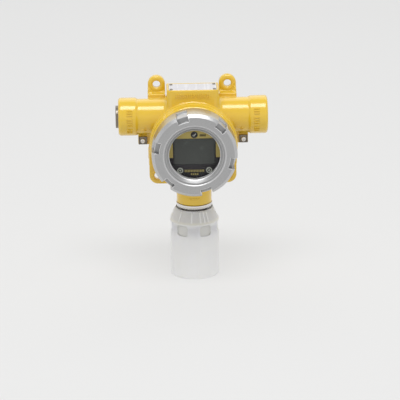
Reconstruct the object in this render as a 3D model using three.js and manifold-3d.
// A fixed gas detector transmitter: a die-cast housing with two conduit hubs and four mounting lugs,
// a screwed window cover over a plug-in display, a terminal module behind it, and a plug-in sensor
// under a weather cap. Millimetres, +Z up, the front faces -Y. The origin is on the wall plane, in the
// middle of the housing's back, at the height of the conduit axis.
import * as THREE from "three";
import { mergeVertices } from "three/addons/utils/BufferGeometryUtils.js";
import Module from "manifold-3d";

const wasm = await Module();
wasm.setup();

// ---- Driving dimensions ----
const FIT = 0.3; // gap kept between turned pieces
const SEAT = 0.1; // gap kept between flat pieces that rest on each other
const BIG = 40; // sides of the large turned shapes
const MID = 20;
const SMALL = 12;

const HUB_Y = -35; // conduit axis
const HUB_HALF = 89; // half the width across the hub collars
const HUB_R = 21.2;
const COLLAR_R = 22.9;
const COLLAR_LENGTH = 22.8;
const ENTRY_R = 14;

const COVER_Z = -29; // axis of the drum, the cover and the display
const DRUM_R = 48;
const FLANGE_R = 52.5;
const FLANGE_BACK_Y = -55;
const FLANGE_FRONT_Y = -77;
const SPIGOT_R = 44;
const SPIGOT_FRONT_Y = -97;
const CAVITY_R = 43.5;
const CAVITY_BACK_Y = -6;
const MOUTH_R = 40.3;

const COVER_R = 50.4;
const COVER_FACE_Y = -107;
const COVER_CHAMFER = 3.5;
const APERTURE_R = 29.8;
const GLASS_R = 37;
const GLASS_SEAT_Y = -102;
const NOTCH_COUNT = 6;
const NOTCH_FIRST = THREE.MathUtils.degToRad(47);
const NOTCH_WIDTH = 13;

const LUG_X = 42.7;
const LUG_TOP_Z = 31.9;
const LUG_LOW_Z = -83.6;
const LUG_R = 10.4;
const LUG_THICK = 8;
const LUG_HOLE_R = 4.5;

const PLATE_BOSS_HALF = 31; // raised boss between the upper lugs
const PLATE_BOSS_TOP_Z = 37.3;
const PLATE_BOSS_FRONT_Y = -57;
const PLATE_BOSS_BACK_Y = -25;
const LABEL_Z = 36.3;

const EARTH_X = 60.3;
const EARTH_Z = -28.7;
const EARTH_FACE_Y = -38;

const NECK_Y = -48; // axis of the neck, the sensor and the weather cap
const NECK_R = 21.1;
const NECK_LOW_Z = -103;
const NECK_BORE_R = 16;

const SOCKET_FLANGE_R = 21.7;
const SOCKET_FLANGE_TOP_Z = NECK_LOW_Z - FIT;
const SOCKET_FLANGE_LOW_Z = -107.6;
const SOCKET_THREAD_R = 17;
const SOCKET_LOW_Z = -124;
const SENSOR_R = 12.8;
const SENSOR_TOP_Z = -92.5;
const SENSOR_LOW_Z = -134.7;
const RETAINER_R = 20.2;
const RETAINER_LOW_Z = -138;
const CAP_TOP_Z = -109.8;
const CAP_RING_R = 29.6;
const CAP_RING_Z = -125.4;
const CAP_WAIST_R = 28.4;
const CAP_R = 29.3;
const CAP_LOW_Z = -193.4;
const CAP_WALL = 2;
const SLEEVE_R = 26.1; // splash sleeve behind the windows
const SLEEVE_TOP_Z = -128.4;
const WINDOW_COUNT = 6;
const WINDOW_FIRST = THREE.MathUtils.degToRad(26.5);

const FASCIA_FRONT_Y = -91.5;
const DISPLAY_R = 38.3;
const LCD_HALF_W = 23.9;
const LCD_TOP_Z = -12.3;
const LCD_LOW_Z = -44;

// ---- Helpers ----

// A closed three.js geometry as a manifold solid, with its shared vertices merged.
function toSolid(geometry) {
  const bare = geometry.index ? geometry.toNonIndexed() : geometry.clone();
  bare.deleteAttribute("normal");
  bare.deleteAttribute("uv");
  const merged = mergeVertices(bare, 1e-4);
  const index = merged.index.array;
  const kept = [];
  for (let i = 0; i < index.length; i += 3) {
    const [a, b, c] = [index[i], index[i + 1], index[i + 2]];
    if (a !== b && b !== c && c !== a) kept.push(a, b, c);
  }
  return new wasm.Manifold(
    new wasm.Mesh({
      numProp: 3,
      vertProperties: merged.attributes.position.array,
      triVerts: new Uint32Array(kept),
    }),
  );
}

function toGeometry(solid) {
  const mesh = solid.getMesh();
  const geometry = new THREE.BufferGeometry();
  geometry.setAttribute("position", new THREE.BufferAttribute(mesh.vertProperties, 3));
  geometry.setIndex(new THREE.BufferAttribute(mesh.triVerts, 1));
  geometry.computeVertexNormals();
  return geometry;
}

const join = (first, ...rest) => rest.reduce((sum, solid) => sum.add(solid), first);
const cut = (first, ...rest) => rest.reduce((left, solid) => left.subtract(solid), first);

// A turned shape from (radius, height) pairs listed with the height rising on the outside.
function turned(profile, sides) {
  return new THREE.LatheGeometry(
    profile.map(([r, h]) => new THREE.Vector2(r, h)),
    sides,
  );
}

const alongX = (profile, sides, y, z) =>
  toSolid(turned(profile, sides).rotateZ(-Math.PI / 2).translate(0, y, z));
const alongY = (profile, sides, x, z) => toSolid(turned(profile, sides).translate(x, 0, z));
const alongZ = (profile, sides, x, y) =>
  toSolid(turned(profile, sides).rotateX(Math.PI / 2).translate(x, y, 0));

const rod = (radius, low, high) => [
  [0, low],
  [radius, low],
  [radius, high],
  [0, high],
];
const ring = (inner, outer, low, high) => [
  [inner, low],
  [outer, low],
  [outer, high],
  [inner, high],
  [inner, low],
];

// A ring of round section, as an O-ring is.
function roundRing(middle, radius, height, sides = 6) {
  const points = [];
  for (let i = 0; i <= sides; i++) {
    const turn = (2 * Math.PI * i) / sides;
    points.push([middle + radius * Math.cos(turn), height + radius * Math.sin(turn)]);
  }
  return points;
}

function box(x0, x1, y0, y1, z0, z1) {
  const shape = new THREE.BoxGeometry(x1 - x0, y1 - y0, z1 - z0);
  return toSolid(shape.translate((x0 + x1) / 2, (y0 + y1) / 2, (z0 + z1) / 2));
}

// A rectangle with its corners rounded, for an extrusion.
function roundedRect(x0, x1, y0, y1, radius) {
  const shape = new THREE.Shape();
  shape.moveTo(x0 + radius, y0);
  shape.absarc(x1 - radius, y0 + radius, radius, -Math.PI / 2, 0);
  shape.absarc(x1 - radius, y1 - radius, radius, 0, Math.PI / 2);
  shape.absarc(x0 + radius, y1 - radius, radius, Math.PI / 2, Math.PI);
  shape.absarc(x0 + radius, y0 + radius, radius, Math.PI, 1.5 * Math.PI);
  return shape;
}

// Extrudes an outline drawn in X and Z from the plane y0 back to y1.
function slabXZ(shape, y0, y1, curveSegments = 3) {
  const slab = new THREE.ExtrudeGeometry(shape, { depth: y1 - y0, bevelEnabled: false, curveSegments });
  return toSolid(slab.rotateX(Math.PI / 2).translate(0, y1, 0));
}

// Extrudes an outline drawn in X and Y from z0 up to z1.
function slabXY(shape, z0, z1, curveSegments = 3) {
  const slab = new THREE.ExtrudeGeometry(shape, { depth: z1 - z0, bevelEnabled: false, curveSegments });
  return toSolid(slab.translate(0, 0, z0));
}

const aroundY = (solid, angle, x, z) =>
  solid
    .translate([-x, 0, -z])
    .rotate([0, THREE.MathUtils.radToDeg(-angle), 0])
    .translate([x, 0, z]);
const aroundZ = (solid, angle, x, y) =>
  solid
    .translate([-x, -y, 0])
    .rotate([0, 0, THREE.MathUtils.radToDeg(angle)])
    .translate([x, y, 0]);

const mirrorX = (solid) => solid.mirror([1, 0, 0]);

// ---- Materials ----
const material = (color, roughness, metalness) =>
  new THREE.MeshStandardMaterial({ color, roughness, metalness });
const FINISH = {
  paint: () => material(0xe3b93f, 0.35, 0),
  aluminium: () => material(0xa6a6a8, 0.4, 1),
  steel: () => material(0xb9b6b2, 0.3, 1),
  brass: () => material(0xb89a55, 0.35, 1),
  glass: () => material(0xdfe6e4, 0.05, 0),
  rubber: () => material(0x1c1c1e, 0.8, 0),
  black: () => material(0x26202a, 0.5, 0),
  olive: () => material(0x8c8246, 0.5, 0),
  lcd: () => material(0x444644, 0.3, 0),
  board: () => material(0x2f6b42, 0.5, 0),
  grey: () => material(0xa9aaa4, 0.5, 0),
  cap: () => material(0xdcdcd6, 0.45, 0),
  label: () => material(0xcfcccf, 0.35, 1),
};

// ---- Housing ----
function drumBody() {
  return alongY(
    [
      [0, SPIGOT_FRONT_Y],
      [SPIGOT_R, SPIGOT_FRONT_Y],
      [SPIGOT_R, FLANGE_FRONT_Y],
      [FLANGE_R - 2, FLANGE_FRONT_Y],
      [FLANGE_R - 0.8, FLANGE_FRONT_Y + 1.5],
      [FLANGE_R - 0.8, FLANGE_FRONT_Y + 12],
      [FLANGE_R, FLANGE_FRONT_Y + 13],
      [FLANGE_R, FLANGE_BACK_Y - 1.5],
      [FLANGE_R - 1.5, FLANGE_BACK_Y],
      [DRUM_R, FLANGE_BACK_Y + 2],
      [DRUM_R, -2],
      [DRUM_R - 2, 0],
      [0, 0],
    ],
    BIG,
    0,
    COVER_Z,
  );
}

function hubBody() {
  const inner = HUB_HALF - COLLAR_LENGTH;
  const half = [
    [HUB_R, inner],
    [COLLAR_R, inner + 1.5],
    [COLLAR_R, HUB_HALF - 1.5],
    [COLLAR_R - 1.5, HUB_HALF],
    [0, HUB_HALF],
  ];
  const other = half.map(([r, h]) => [r, -h]).reverse();
  return alongX([...other, ...half], MID, HUB_Y, 0);
}

// The boss between the upper lugs, with its front corners rounded.
function plateBoss() {
  const corner = 6;
  const shape = new THREE.Shape();
  shape.moveTo(-PLATE_BOSS_HALF, PLATE_BOSS_BACK_Y);
  shape.lineTo(-PLATE_BOSS_HALF, PLATE_BOSS_FRONT_Y + corner);
  shape.absarc(
    -PLATE_BOSS_HALF + corner, PLATE_BOSS_FRONT_Y + corner, corner, Math.PI, 1.5 * Math.PI);
  shape.absarc(PLATE_BOSS_HALF - corner, PLATE_BOSS_FRONT_Y + corner, corner, 1.5 * Math.PI, 2 * Math.PI);
  shape.lineTo(PLATE_BOSS_HALF, PLATE_BOSS_BACK_Y);
  return slabXY(shape, 0, PLATE_BOSS_TOP_Z, 3);
}

// One lug: a round-ended tab on the wall plane, with a raised pad round its hole.
function lug(holeZ, footZ) {
  const upper = holeZ > footZ;
  const tab = new THREE.Shape();
  tab.moveTo(LUG_X - LUG_R, footZ);
  tab.lineTo(LUG_X - LUG_R, holeZ);
  tab.absarc(LUG_X, holeZ, LUG_R, Math.PI, upper ? 0 : 2 * Math.PI, upper);
  tab.lineTo(LUG_X + LUG_R, footZ);
  const pad = alongY(rod(LUG_R - 1.2, -LUG_THICK - 1, -LUG_THICK + 1), 18, LUG_X, holeZ);
  return join(slabXZ(tab, -LUG_THICK, 0, 7), pad);
}

// The upper lugs stand on feet that run down behind the hub. The lower ones are the corners of one plate.
function lugs() {
  const upperFoot = box(LUG_X - LUG_R, LUG_X + LUG_R, -20, 0, -8, 22.4);
  const lowerFoot = box(LUG_X - LUG_R, LUG_X + LUG_R, -14, 0, -70, -50);
  const side = join(lug(LUG_TOP_Z, COVER_Z), lug(LUG_LOW_Z, COVER_Z), upperFoot, lowerFoot);
  const half = LUG_X + LUG_R;
  const plate = slabXZ(roundedRect(-half, half, LUG_LOW_Z - LUG_R, -40, LUG_R), -LUG_THICK, 0, 7);
  return join(side, mirrorX(side), plate);
}

function neckBody() {
  return alongZ(
    [
      [0, NECK_LOW_Z],
      [NECK_R - 0.8, NECK_LOW_Z],
      [NECK_R, NECK_LOW_Z + 0.8],
      [NECK_R, -64],
      [0, -64],
    ],
    MID,
    0,
    NECK_Y,
  );
}

// The ear that carries an earth clamp on its front face.
function earthBoss() {
  return slabXZ(roundedRect(42, EARTH_X + 5.6, -34.4, -21, 2), EARTH_FACE_Y, -22, 3);
}

function housingBores() {
  const cavity = [
    [0, SPIGOT_FRONT_Y - 1],
    [MOUTH_R, SPIGOT_FRONT_Y - 1],
    [MOUTH_R, FLANGE_FRONT_Y - 1],
    [CAVITY_R, FLANGE_FRONT_Y + 2],
    [CAVITY_R, CAVITY_BACK_Y],
    [0, CAVITY_BACK_Y],
  ];
  const entry = [
    [0, -HUB_HALF - 1],
    [ENTRY_R + 2, -HUB_HALF - 1],
    [ENTRY_R, -HUB_HALF + 1],
    [ENTRY_R, HUB_HALF - 1],
    [ENTRY_R + 2, HUB_HALF + 1],
    [0, HUB_HALF + 1],
  ];
  const groove = ring(SPIGOT_R - 1.6, SPIGOT_R + 1, FLANGE_FRONT_Y - 4.2, FLANGE_FRONT_Y - 1.2);
  return [
    alongY(cavity, BIG, 0, COVER_Z),
    alongX(entry, MID, HUB_Y, 0),
    alongZ(rod(NECK_BORE_R, NECK_LOW_Z - 1, -60), MID, 0, NECK_Y),
    alongY(groove, BIG, 0, COVER_Z),
  ];
}

function housingHoles() {
  const holes = [];
  for (const side of [-1, 1]) {
    for (const z of [LUG_TOP_Z, LUG_LOW_Z]) {
      holes.push(alongY(rod(LUG_HOLE_R, -LUG_THICK - 2, 1), SMALL, side * LUG_X, z));
    }
    holes.push(alongY(rod(2.2, EARTH_FACE_Y - 1, EARTH_FACE_Y + 11), SMALL, side * EARTH_X, EARTH_Z));
    holes.push(alongY(rod(1.9, -7, -2.5), SMALL, side * MODULE_SCREW_X, MODULE_SCREW_Z));
  }
  for (const [x, y] of RIVETS) {
    holes.push(alongZ(rod(1.1, LABEL_Z - 3.6, LABEL_Z + 1), 12, x, y));
  }
  return holes;
}

const RIVETS = [
  [-25.6, -30],
  [25.6, -30],
  [-25.6, -52],
  [25.6, -52],
];
const MODULE_SCREW_X = 30;
const MODULE_SCREW_Z = -26;

function housing() {
  const recess = box(-28.6, 28.6, -55.4, PLATE_BOSS_BACK_Y + 1, LABEL_Z, PLATE_BOSS_TOP_Z + 1);
  const ear = earthBoss();
  const casting = join(drumBody(), hubBody(), plateBoss(), lugs(), neckBody(), ear, mirrorX(ear));
  return cut(casting, recess, ...housingBores(), ...housingHoles());
}

// ---- Label ----
function labelPlate() {
  const plate = slabXY(roundedRect(-28.2, 28.2, -55, -26.5, 1.5), LABEL_Z + SEAT, LABEL_Z + 0.6, 3);
  return cut(plate, ...RIVETS.map(([x, y]) => alongZ(rod(1.1, LABEL_Z, LABEL_Z + 2), 12, x, y)));
}

function labelRivet([x, y]) {
  const head = LABEL_Z + 0.7;
  const profile = [
    [0, LABEL_Z - 3],
    [0.8, LABEL_Z - 3],
    [0.8, head],
    [1.9, head],
    [1.5, head + 0.8],
    [0, head + 1],
  ];
  return alongZ(profile, 12, x, y);
}

// ---- Blanking plug in the left entry ----
const PLUG_OUT_X = -92.3;
const PLUG_IN_X = -70;

function blankingPlug() {
  const body = [
    [0, PLUG_OUT_X],
    [12.6, PLUG_OUT_X],
    [13.4, PLUG_OUT_X + 0.8],
    [13.4, -76],
    [11.6, -75.4],
    [11.6, -73.2],
    [13.2, -72.6],
    [13.2, PLUG_IN_X - 0.6],
    [12.6, PLUG_IN_X],
    [0, PLUG_IN_X],
  ];
  const socket = alongX(rod(5.8, PLUG_OUT_X - 1, PLUG_OUT_X + 8), 6, HUB_Y, 0);
  return cut(alongX(body, MID, HUB_Y, 0), socket);
}

const plugOring = () => alongX(roundRing(12.9, 0.9, -74.3), MID, HUB_Y, 0);

// ---- Earth terminals ----
function earthClamp(side) {
  const x = side * EARTH_X;
  const plate = box(x - 5.1, x + 5.1, EARTH_FACE_Y - 2.2, EARTH_FACE_Y - SEAT, -33.2, -24.2);
  const lip = box(x - 5.1, x + 5.1, EARTH_FACE_Y - 3.6, EARTH_FACE_Y - 2, -33.2, -31.8);
  const hole = alongY(rod(2.2, EARTH_FACE_Y - 5, EARTH_FACE_Y + 1), SMALL, x, EARTH_Z);
  return cut(join(plate, lip), hole);
}

function earthScrew(side) {
  const x = side * EARTH_X;
  const seat = EARTH_FACE_Y - 2.2 - SEAT;
  const profile = [
    [0, seat - 2.4],
    [2, seat - 2.4],
    [2.9, seat - 1.6],
    [2.9, seat],
    [1.9, seat],
    [1.9, EARTH_FACE_Y + 10],
    [0, EARTH_FACE_Y + 10],
  ];
  const slot = box(x - 4, x + 4, seat - 3.4, seat - 1.2, EARTH_Z - 0.45, EARTH_Z + 0.45);
  return cut(alongY(profile, SMALL, x, EARTH_Z), slot);
}

// ---- Cover ----
// A cutter for one tool notch: deep at the face, shallow along the side wall.
function notchCutter(angle) {
  const half = NOTCH_WIDTH / 2;
  const deep = box(42.2, 60, COVER_FACE_Y - 1, COVER_FACE_Y + 7, COVER_Z - half, COVER_Z + half);
  const shallow = box(47.6, 60, COVER_FACE_Y + 6, COVER_FACE_Y + 22, COVER_Z - half, COVER_Z + half);
  return aroundY(join(deep, shallow), angle, 0, COVER_Z);
}

const LOCK_ANGLE = THREE.MathUtils.degToRad(-103);
const LOCK_Y = -82;

// A radial rod in the cover at the locking screw's place.
function lockRod(radius, from, to, sides) {
  const straight = alongX(rod(radius, from, to), sides, LOCK_Y, COVER_Z);
  return aroundY(straight, LOCK_ANGLE, 0, COVER_Z);
}

function coverRing() {
  const profile = [
    [APERTURE_R, GLASS_SEAT_Y],
    [APERTURE_R, GLASS_SEAT_Y - 1],
    [APERTURE_R + 3.4, COVER_FACE_Y + 0.6],
    [36.4, COVER_FACE_Y + 0.6],
    [37.2, COVER_FACE_Y],
    [COVER_R - COVER_CHAMFER, COVER_FACE_Y],
    [COVER_R, COVER_FACE_Y + COVER_CHAMFER],
    [COVER_R, FLANGE_FRONT_Y - 1.2],
    [COVER_R - 0.8, FLANGE_FRONT_Y - 0.4],
    [SPIGOT_R + 0.4, FLANGE_FRONT_Y - 0.4],
    [SPIGOT_R + 0.4, SPIGOT_FRONT_Y - 0.6],
    [MOUTH_R - 0.4, SPIGOT_FRONT_Y - 0.6],
    [MOUTH_R - 0.4, SPIGOT_FRONT_Y + 4.4],
    [GLASS_R + FIT, SPIGOT_FRONT_Y + 4.4],
    [GLASS_R + FIT, GLASS_SEAT_Y],
    [APERTURE_R, GLASS_SEAT_Y],
  ];
  const notches = [];
  for (let i = 0; i < NOTCH_COUNT; i++) {
    notches.push(notchCutter(NOTCH_FIRST + (2 * Math.PI * i) / NOTCH_COUNT));
  }
  return cut(alongY(profile, BIG, 0, COVER_Z), ...notches, lockRod(2.3, SPIGOT_R - 1, COVER_R + 2, SMALL));
}

function coverLockScrew() {
  const socket = lockRod(1.1, COVER_R - 3, COVER_R + 2, 6);
  return cut(lockRod(2, SPIGOT_R + 0.8, COVER_R - 0.6, 12), socket);
}

const coverOring = () => alongY(roundRing(SPIGOT_R - 0.7, 0.8, FLANGE_FRONT_Y - 2.7), BIG, 0, COVER_Z);

const GLASS_FRONT_Y = GLASS_SEAT_Y + 1.2;
const GLASS_BACK_Y = GLASS_FRONT_Y + 6;

const windowGasket = () =>
  alongY(ring(APERTURE_R + 0.6, GLASS_R, GLASS_SEAT_Y + SEAT, GLASS_FRONT_Y - SEAT), BIG, 0, COVER_Z);
const windowGlass = () => alongY(rod(GLASS_R, GLASS_FRONT_Y, GLASS_BACK_Y), BIG, 0, COVER_Z);

function glassRetainingRing() {
  const body = ring(APERTURE_R + 1.2, GLASS_R, GLASS_BACK_Y + SEAT, GLASS_BACK_Y + 2.1);
  const slots = [0, Math.PI / 2].map((angle) =>
    aroundY(box(-50, 50, GLASS_BACK_Y + 1.1, GLASS_BACK_Y + 3, COVER_Z - 2, COVER_Z + 2), angle, 0, COVER_Z),
  );
  return cut(alongY(body, BIG, 0, COVER_Z), ...slots);
}

// ---- Display module ----
const CASE_BACK_Y = -66;
const FASCIA_BACK_Y = FASCIA_FRONT_Y + 1.2;
const PLUG_Z = -46;

function displayCase() {
  const rim = FASCIA_BACK_Y + SEAT;
  const profile = [
    [0, CASE_BACK_Y - 2],
    [DISPLAY_R - 1.8, CASE_BACK_Y - 2],
    [DISPLAY_R - 1.8, rim],
    [DISPLAY_R, rim],
    [DISPLAY_R, CASE_BACK_Y],
    [0, CASE_BACK_Y],
  ];
  const opening = box(-13, 13, CASE_BACK_Y - 4, CASE_BACK_Y + 1, PLUG_Z - 4, PLUG_Z + 4);
  return cut(alongY(profile, BIG, 0, COVER_Z), opening);
}

const displayBoard = () => alongY(rod(DISPLAY_R - 2.2, -84, -82.4), MID, 0, COVER_Z);

const displayPlug = () => join(
  box(-12, 12, -82.3, -58, PLUG_Z - 3, PLUG_Z + 3),
  box(-9, 9, -59, -54, PLUG_Z - 1.2, PLUG_Z + 1.2),
);

const lcdPanel = () => slabXZ(
  roundedRect(-LCD_HALF_W + 0.2, LCD_HALF_W - 0.2, LCD_LOW_Z + 0.2, LCD_TOP_Z - 0.2, 0.8),
  FASCIA_FRONT_Y + 0.6,
  -84.1,
  2,
);

function displayFascia() {
  const disc = alongY(rod(DISPLAY_R, FASCIA_FRONT_Y, FASCIA_BACK_Y), BIG, 0, COVER_Z);
  const opening = slabXZ(
    roundedRect(-LCD_HALF_W, LCD_HALF_W, LCD_LOW_Z, LCD_TOP_Z, 1),
    FASCIA_FRONT_Y - 1,
    FASCIA_BACK_Y + 1,
    2,
  );
  return cut(disc, opening);
}

// A round magnetic switch mark on the fascia: a low disc with a raised rim.
function target(x, z, radius) {
  const back = FASCIA_FRONT_Y - SEAT;
  const profile = [
    [0, back - 0.25],
    [radius - 1, back - 0.25],
    [radius - 0.9, back - 0.4],
    [radius - 0.2, back - 0.4],
    [radius, back],
    [0, back],
  ];
  return alongY(profile, 20, x, z);
}

// ---- Terminal module ----
const MODULE_FRONT_Y = -38;
const MODULE_TOP_Z = -18;
const MODULE_LOW_Z = -58;
const MODULE_HALF = 35;
const BLOCK_PITCH = 9;
const BLOCK_ROWS = [-27, -36];
const BLOCK_FRONT_Y = -50;

const moduleScrewHoles = (radius, y0, y1) =>
  [-1, 1].map((side) => alongY(rod(radius, y0, y1), SMALL, side * MODULE_SCREW_X, MODULE_SCREW_Z));

function terminalCarrier() {
  const shape = roundedRect(-MODULE_HALF, MODULE_HALF, MODULE_LOW_Z, MODULE_TOP_Z, 6);
  const block = slabXZ(shape, MODULE_FRONT_Y, CAVITY_BACK_Y - FIT, 4);
  const round = alongY(rod(CAVITY_R - 1, MODULE_FRONT_Y, CAVITY_BACK_Y - FIT), MID, 0, COVER_Z);
  return cut(block.intersect(round), ...moduleScrewHoles(1.9, MODULE_FRONT_Y - 1, 0));
}

function terminalBoard() {
  const shape = roundedRect(-MODULE_HALF + 1, MODULE_HALF - 1, MODULE_LOW_Z + 1, MODULE_TOP_Z - 1, 5);
  const board = slabXZ(shape, MODULE_FRONT_Y - 1.7, MODULE_FRONT_Y - SEAT, 4);
  const round = alongY(rod(CAVITY_R - 2, MODULE_FRONT_Y - 3, MODULE_FRONT_Y + 1), MID, 0, COVER_Z);
  return cut(board.intersect(round), ...moduleScrewHoles(1.9, MODULE_FRONT_Y - 3, MODULE_FRONT_Y + 1));
}

const blockScrewX = (i) => (i - 1.5) * BLOCK_PITCH;

// One terminal block of four ways, with a screw well and a wire entry at each.
function terminalBlock(z) {
  const half = 2 * BLOCK_PITCH + 0.4;
  const body = box(-half, half, BLOCK_FRONT_Y, MODULE_FRONT_Y - 1.8, z - 4.2, z + 4.2);
  const cuts = [];
  for (let i = 0; i < 4; i++) {
    const x = blockScrewX(i);
    cuts.push(alongY(rod(2.6, BLOCK_FRONT_Y - 1, BLOCK_FRONT_Y + 7), SMALL, x, z));
    cuts.push(box(x - 1.8, x + 1.8, BLOCK_FRONT_Y + 4, BLOCK_FRONT_Y + 7.5, z, z + 5));
  }
  return cut(body, ...cuts);
}

function terminalScrew(x, z) {
  const low = BLOCK_FRONT_Y + 2.4;
  const slot = box(x - 3, x + 3, low - 1, low + 0.9, z - 0.4, z + 0.4);
  return cut(alongY(rod(2.2, low, low + 4.2), 12, x, z), slot);
}

function moduleScrew(side) {
  const x = side * MODULE_SCREW_X;
  const seat = MODULE_FRONT_Y - 1.8;
  const profile = [
    [0, seat - 2.2],
    [2.2, seat - 2.2],
    [2.9, seat - 1.4],
    [2.9, seat],
    [1.5, seat],
    [1.5, -2.9],
    [0, -2.9],
  ];
  const slot = box(x - 4, x + 4, seat - 3, seat - 1.2, MODULE_SCREW_Z - 0.4, MODULE_SCREW_Z + 0.4);
  return cut(alongY(profile, SMALL, x, MODULE_SCREW_Z), slot);
}

function displaySocket() {
  const body = box(-13.5, 13.5, -57.7, MODULE_FRONT_Y - 1.8, PLUG_Z - 4, PLUG_Z + 4);
  return cut(body, box(-9.5, 9.5, -58.5, -50, PLUG_Z - 1.7, PLUG_Z + 1.7));
}

// ---- Sensor end ----
function sensorSocket() {
  const bore = SENSOR_R + 0.4;
  const profile = [
    [bore, SOCKET_LOW_Z],
    [SOCKET_THREAD_R - 0.8, SOCKET_LOW_Z],
    [SOCKET_THREAD_R, SOCKET_LOW_Z + 0.8],
    [SOCKET_THREAD_R, SOCKET_FLANGE_LOW_Z],
    [SOCKET_FLANGE_R - 0.5, SOCKET_FLANGE_LOW_Z],
    [SOCKET_FLANGE_R, SOCKET_FLANGE_LOW_Z + 0.5],
    [SOCKET_FLANGE_R, SOCKET_FLANGE_TOP_Z - 0.5],
    [SOCKET_FLANGE_R - 0.5, SOCKET_FLANGE_TOP_Z],
    [NECK_BORE_R - 0.4, SOCKET_FLANGE_TOP_Z],
    [NECK_BORE_R - 0.4, -101],
    [NECK_BORE_R - 2, -101],
    [NECK_BORE_R - 2, -98.4],
    [NECK_BORE_R - 0.4, -98.4],
    [NECK_BORE_R - 0.4, -85],
    [11, -85],
    [11, -91.5],
    [bore, -91.5],
    [bore, SOCKET_LOW_Z],
  ];
  return alongZ(profile, MID, 0, NECK_Y);
}

const socketOring = () => alongZ(roundRing(NECK_BORE_R - 1, 0.85, -99.7), MID, 0, NECK_Y);
const capOring = () => alongZ(roundRing(21.5, 0.95, -108.7), MID, 0, NECK_Y);

const PIN_COUNT = 6;
const PIN_CIRCLE_R = 6.5;

const pins = (radius, low, high, sides) =>
  Array.from({ length: PIN_COUNT }, (_, i) => {
    const turn = (2 * Math.PI * i) / PIN_COUNT;
    const x = PIN_CIRCLE_R * Math.cos(turn);
    return alongZ(rod(radius, low, high), sides, x, NECK_Y + PIN_CIRCLE_R * Math.sin(turn));
  });

function sensorConnector() {
  const body = alongZ(rod(10.7, -91.3, -85.6), MID, 0, NECK_Y);
  return cut(body, ...pins(0.9, -92, -86.6, 8));
}

function sensorPins() {
  return join(alongZ(rod(9, -92.3, -91.7), 24, 0, NECK_Y), ...pins(0.5, -91.9, -87.2, 8));
}

function sensorBody() {
  const profile = [
    [0, SENSOR_LOW_Z + 2],
    [9.4, SENSOR_LOW_Z + 2],
    [9.4, SENSOR_LOW_Z],
    [SENSOR_R - 0.6, SENSOR_LOW_Z],
    [SENSOR_R, SENSOR_LOW_Z + 0.6],
    [SENSOR_R, SENSOR_TOP_Z - 0.6],
    [SENSOR_R - 0.6, SENSOR_TOP_Z],
    [0, SENSOR_TOP_Z],
  ];
  return alongZ(profile, MID, 0, NECK_Y);
}

const sensorMesh = () => alongZ(rod(9.1, SENSOR_LOW_Z + 0.4, SENSOR_LOW_Z + 1.9), MID, 0, NECK_Y);

const RETAINER_LOCK_Z = -117;

// A rod from the sensor axis towards the front, at the retainer's locking screw.
const retainerRod = (radius, from, to, sides) =>
  alongY(rod(radius, NECK_Y - to, NECK_Y - from), sides, 0, RETAINER_LOCK_Z);

function sensorRetainer() {
  const profile = [
    [10.6, RETAINER_LOW_Z],
    [RETAINER_R - 1, RETAINER_LOW_Z],
    [RETAINER_R, RETAINER_LOW_Z + 1],
    [RETAINER_R, CAP_TOP_Z - 0.2],
    [SOCKET_THREAD_R + 0.4, CAP_TOP_Z - 0.2],
    [SOCKET_THREAD_R + 0.4, SOCKET_LOW_Z - 1],
    [SENSOR_R + 0.5, SOCKET_LOW_Z - 1],
    [SENSOR_R + 0.5, SENSOR_LOW_Z - FIT],
    [10.6, SENSOR_LOW_Z - FIT],
    [10.6, RETAINER_LOW_Z],
  ];
  return cut(alongZ(profile, MID, 0, NECK_Y), retainerRod(2, SOCKET_THREAD_R - 1, RETAINER_R + 2, SMALL));
}

function retainerLockScrew() {
  const socket = retainerRod(0.9, RETAINER_R - 1.6, RETAINER_R + 2, 6);
  return cut(retainerRod(1.7, SOCKET_THREAD_R + 0.5, RETAINER_R - 0.3, 12), socket);
}

// ---- Weather cap ----
function capShell() {
  const inner = RETAINER_R + FIT;
  const profile = [
    [CAP_R - CAP_WALL, CAP_LOW_Z],
    [CAP_R, CAP_LOW_Z],
    [CAP_R, -140.4],
    [CAP_WAIST_R, -139],
    [CAP_WAIST_R, -127.4],
    [CAP_RING_R, CAP_RING_Z - 1],
    [CAP_RING_R, CAP_RING_Z + 1],
    [28.4, CAP_RING_Z + 1.6],
    [22.4, CAP_TOP_Z - 1.4],
    [22.4, CAP_TOP_Z],
    [inner, CAP_TOP_Z],
    [inner, CAP_TOP_Z - 4.5],
    [CAP_WAIST_R - CAP_WALL, -127],
    [CAP_WAIST_R - CAP_WALL, -139],
    [CAP_R - CAP_WALL, -140.4],
    [CAP_R - CAP_WALL, CAP_LOW_Z],
  ];
  return alongZ(profile, 32, 0, NECK_Y);
}

function weatherCap() {
  const cuts = [];
  for (let i = 0; i < WINDOW_COUNT; i++) {
    const straight = slabXZ(roundedRect(-6.2, 6.2, -138.9, -126.9, 2.2), NECK_Y - 34, NECK_Y - 23, 2);
    cuts.push(aroundZ(straight, WINDOW_FIRST + (2 * Math.PI * i) / WINDOW_COUNT, 0, NECK_Y));
  }
  return cut(capShell(), ...cuts);
}

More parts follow.
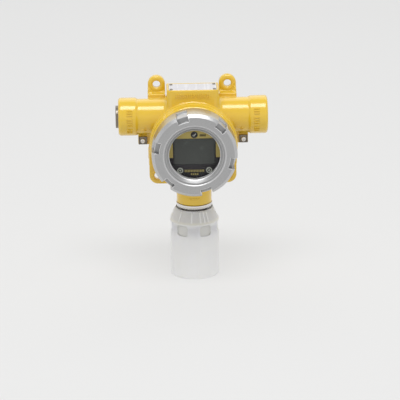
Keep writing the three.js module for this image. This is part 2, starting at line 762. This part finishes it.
// The baffle disc with its gas ports, the splash sleeve that stands on it behind the windows, and the
// calibration gas nozzle under its middle.
function capBaffle() {
  const top = -140.6;
  const profile = [
    [2, -186],
    [3.6, -186],
    [4.6, -182],
    [4, -181.6],
    [4, -150],
    [6, top - 2.4],
    [CAP_R - CAP_WALL - FIT, top - 2.4],
    [CAP_R - CAP_WALL - FIT, top - 0.4],
    [SLEEVE_R, top - 0.4],
    [SLEEVE_R, SLEEVE_TOP_Z],
    [SLEEVE_R - 1.2, SLEEVE_TOP_Z],
    [SLEEVE_R - 1.2, top - 0.4],
    [2, top - 0.4],
    [2, -186],
  ];
  const ports = [];
  for (let i = 0; i < 6; i++) {
    const straight = slabXY(roundedRect(-6, 6, NECK_Y - 23, NECK_Y - 14, 2.5), top - 4, top + 1, 2);
    ports.push(aroundZ(straight, (Math.PI * i) / 3, 0, NECK_Y));
  }
  return cut(alongZ(profile, MID, 0, NECK_Y), ...ports);
}

// ---- Inner wiring ----
function sensorHarness() {
  const route = [
    [0, -48, -85.3],
    [0, -48, -78],
    [0, -46.5, -71],
    [0, -40, -65.5],
    [0, -31, -64],
    [0, -25.5, -62.5],
    [0, -24, -60.5],
    [0, -24, -58.9],
  ];
  const path = new THREE.CatmullRomCurve3(route.map((point) => new THREE.Vector3(...point)));
  const section = new THREE.Shape();
  section.absarc(0, 0, 1.6, 0, 2 * Math.PI);
  return toSolid(
    new THREE.ExtrudeGeometry(section, {
      steps: 14,
      extrudePath: path,
      bevelEnabled: false,
      curveSegments: 4,
    }),
  );
}

// ---- Assembly ----
const detector = new THREE.Group();

function add(name, solid, finish) {
  const mesh = new THREE.Mesh(toGeometry(solid), FINISH[finish]());
  mesh.name = name;
  detector.add(mesh);
}

add("housing", housing(), "paint");
add("label_plate", labelPlate(), "label");
RIVETS.forEach((place, i) => add(`label_rivet_${i + 1}`, labelRivet(place), "steel"));
add("blanking_plug", blankingPlug(), "steel");
add("plug_oring", plugOring(), "rubber");
add("left_earth_clamp", earthClamp(-1), "steel");
add("left_earth_screw", earthScrew(-1), "steel");
add("right_earth_clamp", earthClamp(1), "steel");
add("right_earth_screw", earthScrew(1), "steel");

add("cover_ring", coverRing(), "aluminium");
add("cover_lock_screw", coverLockScrew(), "steel");
add("cover_oring", coverOring(), "rubber");
add("window_gasket", windowGasket(), "rubber");
add("window_glass", windowGlass(), "glass");
add("glass_retaining_ring", glassRetainingRing(), "aluminium");

add("display_case", displayCase(), "black");
add("display_board", displayBoard(), "board");
add("display_plug", displayPlug(), "black");
add("lcd_panel", lcdPanel(), "lcd");
add("display_fascia", displayFascia(), "olive");
add("check_target", target(0, -7.4, 4.1), "black");
add("down_target", target(-17, -51, 3.5), "grey");
add("up_target", target(17, -51, 3.5), "grey");

add("terminal_carrier", terminalCarrier(), "black");
add("terminal_board", terminalBoard(), "board");
add("display_socket", displaySocket(), "black");
BLOCK_ROWS.forEach((z, row) => {
  add(`terminal_block_${row + 1}`, terminalBlock(z), "grey");
  for (let i = 0; i < 4; i++) {
    add(`terminal_screw_${4 * row + i + 1}`, terminalScrew(blockScrewX(i), z), "brass");
  }
});
add("module_screw_1", moduleScrew(-1), "steel");
add("module_screw_2", moduleScrew(1), "steel");

add("sensor_socket", sensorSocket(), "steel");
add("socket_oring", socketOring(), "rubber");
add("sensor_connector", sensorConnector(), "black");
add("sensor_body", sensorBody(), "steel");
add("sensor_pins", sensorPins(), "brass");
add("sensor_mesh", sensorMesh(), "steel");
add("sensor_retainer", sensorRetainer(), "steel");
add("retainer_lock_screw", retainerLockScrew(), "steel");
add("cap_oring", capOring(), "rubber");
add("weather_cap", weatherCap(), "cap");
add("cap_baffle", capBaffle(), "cap");
add("sensor_harness", sensorHarness(), "black");

export default detector;
